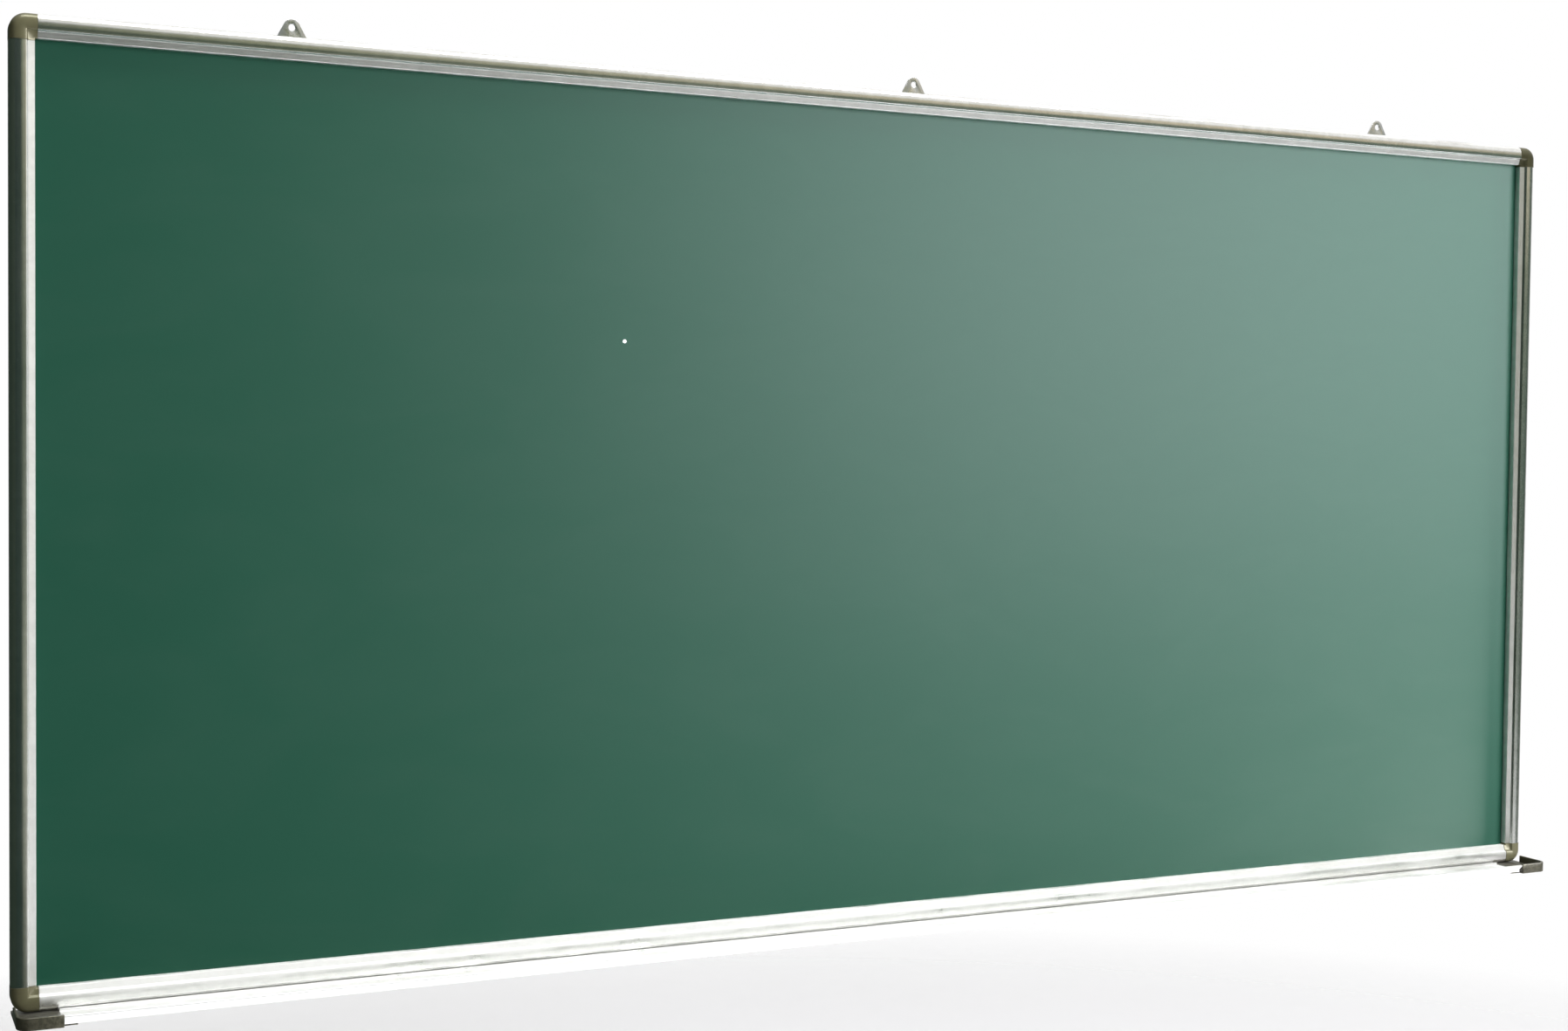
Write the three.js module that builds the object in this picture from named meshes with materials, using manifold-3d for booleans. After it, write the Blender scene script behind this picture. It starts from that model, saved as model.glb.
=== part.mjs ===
// Wall-hung green chalkboard: a laminated steel panel in an aluminium frame with resin corners,
// a chalk tray under the bottom rail and three hanging lugs that slide in the top rail.
// Millimetres. X runs along the board, Z is up and the wall is the plane Y = 0, behind the board.
// The origin is the middle of the board's back, on the wall.

import * as THREE from 'three';
import { mergeVertices } from 'three/addons/utils/BufferGeometryUtils.js';
import Module from 'manifold-3d';

// Overall size of the frame
const boardWidth = 1800;
const boardHeight = 900;

// Frame extrusion: its face is seen from the front, its depth is measured from the wall
const faceWidth = 22;
const frameDepth = 20;
const frameWall = 1.4;
const beadRadius = 7.5;
const crownRadius = 20;
const crownLean = 0.218;
const slopeWidth = 1.4;
const lipWidth = 6;
const lipDrop = 4.6;
const lipTilt = 1.4;
const lipRound = 0.6;
const rearFlangeReach = 9;
const rearFlangeThickness = 1.85;

// Channel at the back of the extrusion, for the sliding nuts and the corner legs
const channelRecess = 2;
const slotWidth = 3.4;

// Writing panel
const panelSetback = 12;
const sheetThickness = 0.5;
const backThickness = 0.5;
const bondGap = 0.1;
const panelOverlap = 10;
const panelClearance = 0.15;
const panelEndClearance = 1.2;

// Resin corner pieces
const cornerArm = 24;
const cornerRadius = 15;
const cornerProud = 0.5;
const cornerLegLength = 24;
const cornerLegSetback = 6.7;
const cornerScrewSetback = 16;

// Chalk tray and its end pieces
const trayDepth = 65;
const trayThickness = 1.6;
const trayLipHeight = 9;
const trayLipFlare = 2.5;
const trayLipBead = 1.2;
const trayBackSetback = 1;
const trayFillet = 2;
const locatingRibHeight = 2.5;
const trayInset = 1;
const trayEndLength = 40;
const trayEndRadius = 12;
const trayEndWall = 2.4;
const trayEndProud = 1;
const trayEndRise = 0.8;
const tongueLength = 12;
const tongueThickness = 1.5;
const tongueMargin = 3;

// Hanging lugs. The outer two are set in from the ends of the board, and the third is near its middle.
const leftHangerSetback = 253;
const rightHangerSetback = 239;
const middleHangerShift = 22;
const plateThickness = 1.6;
const plateWidth = 30;
const plateCornerRadius = 2;
const lugRise = 11;
const lugRadius = 8;
const lugHoleRadius = 3.2;
const nutLength = 10;
const nutThickness = 2.4;
const clampScrewLength = 7.6;
const clampHeadRadius = 2.7;
const clampHeadHeight = 1.2;

// Screws
const screwRadius = 1.5;
const screwHeadRadius = 2.8;
const screwHeadHeight = 1.6;
const screwTipLength = 1.5;
const cornerScrewLength = 9;
const trayScrewLength = 8;
const trayScrewCount = 5;
const trayScrewMargin = 60;
const trayScrewDepth = 10;
const trayEndScrewSetback = 6;
const driveWidth = 0.7;
const driveSpan = 3.2;
const driveDepth = 0.7;

// Clearances between neighbours
const jointGap = 0.3;
const seatGap = 0.2;
const headGap = 0.1;
const legClearance = 0.3;
const holeClearance = 0.2;
const slideClearance = 0.2;

// How finely round stretches are divided, and how far a cutting tool runs past what it cuts
const arcSteps = 7;
const screwSteps = 12;
const cornerSteps = 32;
const cutMargin = 5;

const finishes = {
  greenCoat: { color: 0x3f6f5f, roughness: 0.45, metalness: 0 },
  hardboard: { color: 0x8a6a45, roughness: 0.9, metalness: 0 },
  zincSheet: { color: 0xa9adad, roughness: 0.45, metalness: 0.8 },
  aluminium: { color: 0xd4d6d2, roughness: 0.3, metalness: 0.9 },
  resin: { color: 0x5f6048, roughness: 0.45, metalness: 0 },
  steel: { color: 0xc6c9cb, roughness: 0.3, metalness: 1 },
};

// Planes of the groove and of the panel's layers, as distances from the wall.
// The core fills what the frame's depth leaves between the two sheets.
const sheetFront = frameDepth - panelSetback;
const coreFront = sheetFront - sheetThickness - bondGap;
const backFront = rearFlangeThickness + panelClearance + backThickness;
const coreThickness = coreFront - bondGap - backFront;
const grooveFront = sheetFront + panelClearance;
const grooveBack = rearFlangeThickness;

// Lines of the extrusion, as distances from the frame's outer edge
const grooveFloor = panelOverlap - panelEndClearance;
const webInset = grooveFloor - frameWall;
const slotMiddle = (frameWall + webInset) / 2;
const slotNear = slotMiddle - slotWidth / 2;
const slotFar = slotMiddle + slotWidth / 2;
const channelFloor = channelRecess + frameWall;
const legBack = channelFloor + legClearance;
const legFront = frameDepth - cornerLegSetback;
const lipStart = faceWidth - lipWidth;
const lipLevel = frameDepth - lipDrop;

// Front and back faces of a lug's plate, which lies in the recess behind the top rail
const plateFront = -channelRecess + slideClearance;
const plateBack = plateFront + plateThickness;

// Where each lug stands along the top rail, from the middle of the board
const hangerPlaces = {
  left: leftHangerSetback - boardWidth / 2,
  middle: middleHangerShift,
  right: boardWidth / 2 - rightHangerSetback,
};

// Places along a rail, as distances from the frame's outer corner
const railEnd = cornerArm + jointGap;
const cornerScrewPlace = railEnd + cornerScrewSetback;
const trayEndScrewPlace = railEnd + trayEndScrewSetback;
const trayEnd = trayInset + trayEndLength + jointGap;

// Levels of the tray, measured up from the frame's bottom edge
const trayTop = -seatGap;
const trayBottom = trayTop - trayThickness;
const trayLipTop = trayBottom + trayLipHeight;
const tongueTop = trayBottom - headGap;
const trayEndBottom = tongueTop - tongueThickness;

const wasm = await Module();
wasm.setup();

// Turns a closed geometry into a solid for cutting and joining
function toSolid(geometry) {
  const bare = geometry.clone();
  bare.deleteAttribute('normal');
  bare.deleteAttribute('uv');
  const merged = mergeVertices(bare, 1e-4);
  return new wasm.Manifold(new wasm.Mesh({
    numProp: 3,
    vertProperties: new Float32Array(merged.attributes.position.array),
    triVerts: new Uint32Array(merged.index.array),
  }));
}

// Turns a solid back into a geometry
function toGeometry(solid) {
  const mesh = solid.getMesh();
  const geometry = new THREE.BufferGeometry();
  geometry.setAttribute('position', new THREE.BufferAttribute(mesh.vertProperties, 3));
  geometry.setIndex(new THREE.BufferAttribute(mesh.triVerts, 1));
  geometry.computeVertexNormals();
  return geometry;
}

// Cuts every tool out of a geometry
function cutAway(geometry, tools) {
  const cut = tools.reduce((solid, tool) => solid.subtract(toSolid(tool)), toSolid(geometry));
  return toGeometry(cut);
}

// Joins several geometries into one body
function joinAll(geometries) {
  return toGeometry(geometries.map(toSolid).reduce((joined, solid) => joined.add(solid)));
}

// Mirrors a geometry across the plane X = 0 and turns its faces out again
function mirrorAcross(geometry) {
  const mirrored = geometry.clone().scale(-1, 1, 1);
  const corners = mirrored.index.array;
  for (let face = 0; face < corners.length; face += 3) {
    [corners[face], corners[face + 1]] = [corners[face + 1], corners[face]];
  }
  return mirrored;
}

// A box given by its low and high corners
function boxBetween(low, high) {
  const size = high.map((value, axis) => value - low[axis]);
  const middle = high.map((value, axis) => (value + low[axis]) / 2);
  return new THREE.BoxGeometry(...size).translate(...middle);
}

// Points of an arc about a centre, both ends included
function arcPoints([across, up], radius, fromAngle, toAngle) {
  return Array.from({ length: arcSteps + 1 }, (_, step) => {
    const angle = fromAngle + ((toAngle - fromAngle) * step) / arcSteps;
    return [across + radius * Math.cos(angle), up + radius * Math.sin(angle)];
  });
}

// A closed outline from a list of points
function outlineOf(points) {
  return new THREE.Shape(points.map(([across, up]) => new THREE.Vector2(across, up)));
}

// Extrudes an outline of [X, Y] points up along Z
function extrudeAlongZ(shape, lowZ, highZ) {
  const settings = { depth: highZ - lowZ, bevelEnabled: false, curveSegments: arcSteps };
  return new THREE.ExtrudeGeometry(shape, settings).translate(0, 0, lowZ);
}

// Extrudes an outline of [Y, Z] points along X
function extrudeAlongX(shape, lowX, highX) {
  const turn = new THREE.Matrix4().set(0, 0, 1, 0, 1, 0, 0, 0, 0, 1, 0, 0, 0, 0, 0, 1);
  return extrudeAlongZ(shape, lowX, highX).applyMatrix4(turn);
}

// Extrudes an outline of [X, Z] points along Y, from its front plane to its back plane
function extrudeAlongY(shape, frontY, backY) {
  return extrudeAlongZ(shape, -backY, -frontY).rotateX(Math.PI / 2);
}

// A round body about Y from [radius, height] points that start and end on the axis
function latheOf(profile, steps) {
  return new THREE.LatheGeometry(profile.map(([x, y]) => new THREE.Vector2(x, y)), steps);
}

// A round cutting tool along Y that runs from frontY to backY
function drillAlongY(frontY, backY) {
  const radius = screwRadius + holeClearance;
  return latheOf([[0, frontY], [radius, frontY], [radius, backY], [0, backY]], screwSteps);
}

// Front of the extrusion as [distance from the outer edge, distance from the wall], set in by a wall.
// It runs from the outer side round the bead, over its flatter crown and down a step to the sloping lip.
function frontCurve(inset) {
  const rise = crownRadius - beadRadius;
  const crownBase = frameDepth - crownRadius;
  const beadCentre = [beadRadius, crownBase + rise * Math.cos(crownLean)];
  const crownCentre = [beadRadius + rise * Math.sin(crownLean), crownBase];
  const turn = Math.PI / 2 + crownLean;
  const crownEnd = Math.acos((lipStart - slopeWidth - crownCentre[0]) / crownRadius);
  return [
    ...arcPoints(beadCentre, beadRadius - inset, Math.PI, turn),
    ...arcPoints(crownCentre, crownRadius - inset, turn, crownEnd).slice(1),
    [lipStart - inset / 2, lipLevel + lipTilt - inset],
    [faceWidth - lipRound - inset, lipLevel - inset],
    [faceWidth - inset, lipLevel - lipRound - inset],
  ];
}

// Section of the frame extrusion: one wall all round, open at the back through the channel's slot
function railSection() {
  return [
    [0, channelRecess],
    ...frontCurve(0),
    [faceWidth, grooveFront],
    [grooveFloor, grooveFront],
    [grooveFloor, grooveBack],
    [webInset + rearFlangeReach, grooveBack],
    [webInset + rearFlangeReach, 0],
    [webInset, 0],
    [webInset, channelRecess],
    [slotFar, channelRecess],
    [slotFar, channelFloor],
    [webInset, channelFloor],
    [webInset, grooveFront + frameWall],
    [faceWidth - frameWall, grooveFront + frameWall],
    ...frontCurve(frameWall).reverse(),
    [frameWall, channelFloor],
    [slotNear, channelFloor],
    [slotNear, channelRecess],
  ];
}

// A length of extrusion along X whose outer edge is at Z = 0, with screw holes in its outer wall
function railGeometry(frameLength, holePlaces) {
  const reach = frameLength / 2 - railEnd;
  const section = outlineOf(railSection().map(([inward, forward]) => [-forward, -inward]));
  const rail = extrudeAlongX(section, -reach, reach);
  const holes = holePlaces.map((place) => (
    drillAlongY(-cutMargin, frameWall + screwTipLength)
      .rotateX(-Math.PI / 2)
      .translate(place, -trayScrewDepth, 0)
  ));
  return cutAway(rail, holes);
}

// Outline of a corner piece's arm: the extrusion's outside, a little proud in front
function cornerSection() {
  return [
    [0, seatGap],
    ...frontCurve(0).map(([inward, forward]) => [inward, forward + cornerProud]),
    [faceWidth, seatGap],
  ];
}

// Height of the corner piece's front at a distance from the outer edge
function frontHeightAt(inward) {
  const front = cornerSection().slice(1, -1);
  const next = front.findIndex(([place]) => place >= inward);
  const [near, far] = front.slice(next - 1, next + 1);
  const share = (inward - near[0]) / (far[0] - near[0]);
  return near[1] + (far[1] - near[1]) * share;
}

// The bead turned round the frame's corner, kept only inside the corner itself
function cornerBead() {
  const front = cornerSection().slice(1).filter(([inward]) => inward < cornerRadius).reverse();
  const turned = latheOf([
    [0, -frontHeightAt(cornerRadius)],
    ...front.map(([inward, forward]) => [cornerRadius - inward, -forward]),
    [cornerRadius, -seatGap],
    [0, -seatGap],
  ], cornerSteps).translate(-cornerRadius, 0, -cornerRadius);
  const keep = boxBetween(
    [-cornerRadius, -frameDepth - cutMargin, -cornerRadius],
    [cutMargin, cutMargin, cutMargin],
  );
  return toGeometry(toSolid(turned).intersect(toSolid(keep)));
}

// Resin corner piece for the top right corner, whose outer corner is at X = 0, Z = 0.
// Each leg plugs into a rail and has one hole for the screw at the back and one from its outer side.
function cornerGeometry() {
  const section = cornerSection();
  const armAcross = outlineOf(section.map(([inward, forward]) => [-forward, -inward]));
  const armDown = outlineOf(section.map(([inward, forward]) => [-inward, -forward]));
  const legNear = frameWall + legClearance;
  const legFar = webInset - legClearance;
  const legTip = cornerArm + cornerLegLength;
  const body = joinAll([
    extrudeAlongX(armAcross, -cornerArm, -cornerRadius),
    extrudeAlongZ(armDown, -cornerArm, -cornerRadius),
    cornerBead(),
    boxBetween([-legTip, -legFront, -legFar], [-cornerRadius, -legBack, -legNear]),
    boxBetween([-legFar, -legFront, -legTip], [-legNear, -legBack, -cornerRadius]),
  ]);
  const panelRoom = boxBetween(
    [-cornerArm - cutMargin, -grooveFront, -cornerArm - cutMargin],
    [-grooveFloor, -grooveBack, -grooveFloor],
  );
  const rearHole = drillAlongY(-frameDepth, 0);
  const sideHole = drillAlongY(-webInset, 0);
  return cutAway(body, [
    panelRoom,
    rearHole.clone().translate(-cornerScrewPlace, 0, -slotMiddle),
    rearHole.clone().translate(-slotMiddle, 0, -cornerScrewPlace),
    sideHole.clone().rotateX(Math.PI / 2).translate(-trayEndScrewPlace, -trayScrewDepth, 0),
    sideHole.clone().rotateZ(-Math.PI / 2).translate(0, -trayScrewDepth, -trayEndScrewPlace),
  ]);
}

// Cuts a cross recess into the head of a screw whose flat top is at the given height
function withCrossDrive(screw, top) {
  const floor = top - driveDepth;
  const longHalf = driveSpan / 2;
  const shortHalf = driveWidth / 2;
  return cutAway(screw, [
    boxBetween([-longHalf, floor, -shortHalf], [longHalf, top + cutMargin, shortHalf]),
    boxBetween([-shortHalf, floor, -longHalf], [shortHalf, top + cutMargin, longHalf]),
  ]);
}

// Pan-head screw that points along -Y, with the underside of its head at Y = 0
function panScrewGeometry(length) {
  const screw = latheOf([
    [0, -length],
    [screwRadius / 3, -length],
    [screwRadius, -length + screwTipLength],
    [screwRadius, 0],
    [screwHeadRadius, 0],
    [screwHeadRadius, screwHeadHeight / 2],
    [screwHeadRadius * 0.75, screwHeadHeight],
    [0, screwHeadHeight],
  ], screwSteps);
  return withCrossDrive(screw, screwHeadHeight);
}

// Countersunk outline with its flat top at Y = 0, grown by a clearance all round
function countersunkProfile(length, clearance) {
  return [
    [0, -length],
    [screwRadius + clearance, -length],
    [screwRadius + clearance, -clampHeadHeight],
    [clampHeadRadius + clearance, 0],
    [0, 0],
  ];
}

// Section of the tray: flange under the rail, floor, rib in front of the rail and flared front lip
function traySection() {
  const ribBack = -frameDepth - jointGap;
  const ribFront = ribBack - trayThickness;
  const foot = [-trayDepth + trayLipFlare + trayFillet, trayBottom + trayFillet];
  const bead = [-trayDepth + trayLipBead, trayLipTop - trayLipBead];
  const across = bead[0] - foot[0];
  const up = bead[1] - foot[1];
  const lean = Math.atan2(up, across) - Math.acos((trayLipBead - trayFillet) / Math.hypot(across, up));
  const lipBack = [
    foot[0] + (trayThickness - trayFillet) * Math.cos(lean),
    foot[1] + (trayThickness - trayFillet) * Math.sin(lean),
  ];
  const innerCentre = [lipBack[0] + trayFillet * Math.cos(lean), trayTop + trayFillet];
  return [
    [-trayBackSetback, trayTop],
    [-trayBackSetback, trayBottom],
    ...arcPoints(foot, trayFillet, -Math.PI / 2, lean - Math.PI),
    ...arcPoints(bead, trayLipBead, lean + Math.PI, 0),
    [bead[0] + trayLipBead, bead[1] - trayLipBead / 2],
    ...arcPoints(innerCentre, trayFillet, lean + Math.PI, Math.PI * 1.5),
    [ribFront, trayTop],
    [ribFront, trayTop + locatingRibHeight],
    [ribBack, trayTop + locatingRibHeight],
    [ribBack, trayTop],
  ];
}

// Places of the tray's screws along the bottom rail, evenly spread
function trayScrewPlaces() {
  const reach = boardWidth / 2 - trayEnd - trayScrewMargin;
  const step = (2 * reach) / (trayScrewCount - 1);
  return Array.from({ length: trayScrewCount }, (_, index) => -reach + step * index);
}

// Chalk tray along X, measured up from the frame's bottom edge
function trayGeometry() {
  const reach = boardWidth / 2 - trayEnd;
  const holes = trayScrewPlaces().map((place) => (
    drillAlongY(trayBottom - cutMargin, trayTop + cutMargin)
      .rotateX(Math.PI / 2)
      .translate(place, -trayScrewDepth, 0)
  ));
  return cutAway(extrudeAlongX(outlineOf(traySection()), -reach, reach), holes);
}

// Plan of an end piece with its outer end at X = -endX and its front corner rounded
function endPlan(endX, frontY, radius, backY, reachX) {
  const plan = new THREE.Shape();
  plan.moveTo(-reachX, frontY);
  plan.lineTo(-endX - radius, frontY);
  plan.absarc(-endX - radius, frontY + radius, radius, -Math.PI / 2, 0, false);
  plan.lineTo(-endX, backY);
  plan.lineTo(-reachX, backY);
  return plan;
}

// End piece of the tray for its right-hand end, whose outer end is at X = 0
function trayEndGeometry() {
  const rim = trayLipTop + trayEndRise;
  const front = -trayDepth - trayEndProud;
  const pocketFront = -trayDepth + trayEndWall;
  const pocketBack = -frameDepth - cornerProud - jointGap;
  const pocketReach = trayEndLength + cutMargin;
  const body = cutAway(
    extrudeAlongZ(
      endPlan(0, front, trayEndRadius, -trayBackSetback, trayEndLength),
      trayEndBottom,
      rim,
    ),
    [
      extrudeAlongZ(
        endPlan(trayEndWall, pocketFront, trayEndRadius - trayEndWall, pocketBack, pocketReach),
        trayTop,
        rim + cutMargin,
      ),
      boxBetween([-pocketReach, pocketBack, trayTop], [cutMargin, cutMargin, rim + cutMargin]),
      drillAlongY(trayEndBottom - cutMargin, trayTop + cutMargin)
        .rotateX(Math.PI / 2)
        .translate(trayInset - trayEndScrewPlace, -trayScrewDepth, 0),
    ],
  );
  const tongue = boxBetween(
    [-trayEndLength - tongueLength, pocketFront + tongueMargin, trayEndBottom],
    [-trayEndLength + tongueMargin, pocketBack - tongueMargin, tongueTop],
  );
  return joinAll([body, tongue]);
}

// Plate of a hanging lug: X = 0 is its middle and Z = 0 the top edge of the rail behind which it stands
function hangerPlateGeometry() {
  const halfWidth = plateWidth / 2;
  const foot = -webInset + slideClearance;
  const spread = Math.atan2(-lugRise, halfWidth)
    + Math.acos(lugRadius / Math.hypot(halfWidth, lugRise));
  const cornerX = halfWidth - plateCornerRadius;
  const cornerZ = foot + plateCornerRadius;
  const plate = new THREE.Shape();
  plate.moveTo(-cornerX, foot);
  plate.absarc(cornerX, cornerZ, plateCornerRadius, -Math.PI / 2, 0, false);
  plate.lineTo(halfWidth, 0);
  plate.absarc(0, lugRise, lugRadius, spread, Math.PI - spread, false);
  plate.lineTo(-halfWidth, 0);
  plate.absarc(-cornerX, cornerZ, plateCornerRadius, Math.PI, Math.PI * 1.5, false);
  const hole = new THREE.Path();
  hole.absarc(0, lugRise, lugHoleRadius, 0, Math.PI * 2, true);
  plate.holes.push(hole);
  const sink = latheOf(countersunkProfile(clampScrewLength, holeClearance), screwSteps);
  return cutAway(extrudeAlongY(plate, plateFront, plateBack), [
    sink.translate(0, plateBack, -slotMiddle),
  ]);
}

// Countersunk clamp screw, pointing along -Y from the back of the plate
function clampScrewGeometry() {
  return withCrossDrive(latheOf(countersunkProfile(clampScrewLength, 0), screwSteps), 0);
}

// Sliding nut inside the channel, with a hole for the clamp screw
function hangerNutGeometry() {
  const back = -channelFloor - slideClearance;
  const nut = boxBetween(
    [-nutLength / 2, back - nutThickness, -webInset + slideClearance],
    [nutLength / 2, back, -frameWall - slideClearance],
  );
  const hole = drillAlongY(back - nutThickness - cutMargin, back + cutMargin);
  return cutAway(nut, [hole.translate(0, 0, -slotMiddle)]);
}

// A named piece with its finish
function piece(name, geometry, finish) {
  const mesh = new THREE.Mesh(geometry, new THREE.MeshStandardMaterial(finishes[finish]));
  mesh.name = name;
  return mesh;
}

// One flat layer of the writing panel, from its front plane back by its thickness
function panelLayer(name, front, thickness, finish) {
  const width = boardWidth - 2 * panelOverlap;
  const height = boardHeight - 2 * panelOverlap;
  const layer = piece(name, new THREE.BoxGeometry(width, thickness, height), finish);
  layer.position.y = -front + thickness / 2;
  return layer;
}

// The writing panel's three layers
function buildPanel() {
  const panel = new THREE.Group();
  panel.add(
    panelLayer('writing_sheet', sheetFront, sheetThickness, 'greenCoat'),
    panelLayer('core_board', coreFront, coreThickness, 'hardboard'),
    panelLayer('back_sheet', backFront, backThickness, 'zincSheet'),
  );
  return panel;
}

// The four lengths of extrusion, each turned about Y to its side of the frame
function buildRails() {
  const endScrew = boardWidth / 2 - trayEndScrewPlace;
  const sides = [
    { name: 'top_rail', turn: 0, along: boardWidth, out: boardHeight, holes: [] },
    { name: 'right_stile', turn: 1, along: boardHeight, out: boardWidth, holes: [] },
    {
      name: 'bottom_rail',
      turn: 2,
      along: boardWidth,
      out: boardHeight,
      holes: [-endScrew, ...trayScrewPlaces(), endScrew],
    },
    { name: 'left_stile', turn: 3, along: boardHeight, out: boardWidth, holes: [] },
  ];
  const rails = new THREE.Group();
  for (const { name, turn, along, out, holes } of sides) {
    const side = new THREE.Group();
    const rail = piece(name, railGeometry(along, holes), 'aluminium');
    rail.position.z = out / 2;
    side.rotation.y = (turn * Math.PI) / 2;
    side.add(rail);
    rails.add(side);
  }
  return rails;
}

// The corner pieces, one moulding turned to each corner, with the two screws of each
function buildCorners() {
  const corners = [
    { name: 'top_right', turn: 0, side: 1, level: 1 },
    { name: 'bottom_right', turn: 1, side: 1, level: -1 },
    { name: 'bottom_left', turn: 2, side: -1, level: -1 },
    { name: 'top_left', turn: 3, side: -1, level: 1 },
  ];
  const all = new THREE.Group();
  for (const { name, turn, side, level } of corners) {
    const corner = new THREE.Group();
    corner.position.set((side * boardWidth) / 2, 0, (level * boardHeight) / 2);
    corner.rotation.y = (turn * Math.PI) / 2;
    corner.add(piece(`corner_${name}`, cornerGeometry(), 'resin'));
    const places = [[-cornerScrewPlace, -slotMiddle], [-slotMiddle, -cornerScrewPlace]];
    places.forEach(([x, z], index) => {
      const geometry = panScrewGeometry(cornerScrewLength);
      const screw = piece(`corner_screw_${name}_${index + 1}`, geometry, 'steel');
      screw.position.set(x, -channelRecess + headGap, z);
      corner.add(screw);
    });
    all.add(corner);
  }
  return all;
}

// The chalk tray with its end pieces and screws, hung under the frame's bottom edge
function buildTray() {
  const tray = new THREE.Group();
  tray.position.z = -boardHeight / 2;
  tray.add(piece('chalk_tray', trayGeometry(), 'aluminium'));
  const rightEnd = piece('tray_end_right', trayEndGeometry(), 'resin');
  const leftEnd = piece('tray_end_left', mirrorAcross(trayEndGeometry()), 'resin');
  rightEnd.position.x = boardWidth / 2 - trayInset;
  leftEnd.position.x = -rightEnd.position.x;
  tray.add(rightEnd, leftEnd);
  const endScrew = boardWidth / 2 - trayEndScrewPlace;
  const screws = [
    ...trayScrewPlaces().map((x, index) => ({ name: `tray_screw_${index + 1}`, x, z: trayBottom })),
    { name: 'tray_end_screw_left', x: -endScrew, z: trayEndBottom },
    { name: 'tray_end_screw_right', x: endScrew, z: trayEndBottom },
  ];
  for (const { name, x, z } of screws) {
    const screw = piece(name, panScrewGeometry(trayScrewLength), 'steel');
    screw.rotation.x = -Math.PI / 2;
    screw.position.set(x, -trayScrewDepth, z - headGap);
    tray.add(screw);
  }
  return tray;
}

// The three hanging lugs, each a plate, a sliding nut and the screw that clamps them to the rail
function buildHangers() {
  const hangers = new THREE.Group();
  for (const [name, place] of Object.entries(hangerPlaces)) {
    const hanger = new THREE.Group();
    hanger.position.set(place, 0, boardHeight / 2);
    const screw = piece(`hanger_screw_${name}`, clampScrewGeometry(), 'steel');
    screw.position.set(0, plateBack - headGap, -slotMiddle);
    hanger.add(
      piece(`hanger_plate_${name}`, hangerPlateGeometry(), 'steel'),
      piece(`hanger_nut_${name}`, hangerNutGeometry(), 'steel'),
      screw,
    );
    hangers.add(hanger);
  }
  return hangers;
}

const chalkboard = new THREE.Group();
chalkboard.add(buildPanel(), buildRails(), buildCorners(), buildTray(), buildHangers());

export default chalkboard;
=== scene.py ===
import math
import bpy
import bmesh
from mathutils import Matrix, Vector


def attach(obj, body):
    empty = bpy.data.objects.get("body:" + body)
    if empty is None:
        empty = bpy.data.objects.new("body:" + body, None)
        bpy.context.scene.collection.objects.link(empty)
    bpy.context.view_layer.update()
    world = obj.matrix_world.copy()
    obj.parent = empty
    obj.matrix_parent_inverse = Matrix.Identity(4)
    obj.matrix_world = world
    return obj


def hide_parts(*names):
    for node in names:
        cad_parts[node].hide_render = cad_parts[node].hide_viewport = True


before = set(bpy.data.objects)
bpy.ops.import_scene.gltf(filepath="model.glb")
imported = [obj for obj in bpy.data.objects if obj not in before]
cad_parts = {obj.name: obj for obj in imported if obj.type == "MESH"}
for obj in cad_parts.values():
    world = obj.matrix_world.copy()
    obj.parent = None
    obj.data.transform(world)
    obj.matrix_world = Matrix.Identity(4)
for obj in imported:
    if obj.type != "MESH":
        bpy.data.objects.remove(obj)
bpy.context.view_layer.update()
print("Frame loaded, pieces:", len(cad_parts))

mm = 0.001
quarterTurn = math.pi / 2


def linkObject(name, data):
    made = bpy.data.objects.new(name, data)
    bpy.context.scene.collection.objects.link(made)
    return made


# Camera at the photograph's viewpoint, in metres and radians

viewPoint = {
    "place": (-1.0619, -1.997, 0.0799),
    "turn": 0.43823,      # to the right of straight at the wall
    "tilt": -0.03332,     # slightly down
    "roll": 0.01047,
    "lens": 47.78,
    "shiftX": -0.0005,
    "shiftY": -0.0067,
}


def makeCamera(view):
    turn, tilt, roll = view["turn"], view["tilt"], view["roll"]
    ahead = Vector((
        math.sin(turn) * math.cos(tilt),
        math.cos(turn) * math.cos(tilt),
        math.sin(tilt),
    ))
    level = Vector((math.cos(turn), -math.sin(turn), 0))
    above = level.cross(ahead)
    across = level * math.cos(roll) + above * math.sin(roll)
    upward = above * math.cos(roll) - level * math.sin(roll)
    data = bpy.data.cameras.new("photoCamera")
    data.sensor_width = 36
    data.lens = view["lens"]
    data.shift_x = view["shiftX"]
    data.shift_y = view["shiftY"]
    data.clip_start = 0.01
    camera = linkObject("photoCamera", data)
    turned = Matrix((across, upward, -ahead)).transposed().to_4x4()
    camera.matrix_world = Matrix.Translation(view["place"]) @ turned
    bpy.context.scene.camera = camera


makeCamera(viewPoint)
print("Camera placed")


# Node helpers: an input takes a value or another node's output

def addNode(near, kind, settings=None, **inputs):
    # near is the tree, or a socket of any node in it
    node = near.id_data.nodes.new(kind)
    for name, value in (settings or {}).items():
        setattr(node, name, value)
    for name, value in inputs.items():
        fill(node.inputs[name.replace("_", " ")], value)
    return node


def fill(socket, value):
    if isinstance(value, bpy.types.NodeSocket):
        socket.id_data.links.new(value, socket)
    else:
        socket.default_value = value


def mixColours(share, first, second):
    # The colour sockets of this node stand after its number and vector sockets
    node = addNode(share, "ShaderNodeMix", {"data_type": "RGBA"})
    for index, value in ((0, share), (6, first), (7, second)):
        fill(node.inputs[index], value)
    return node.outputs[2]


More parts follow.
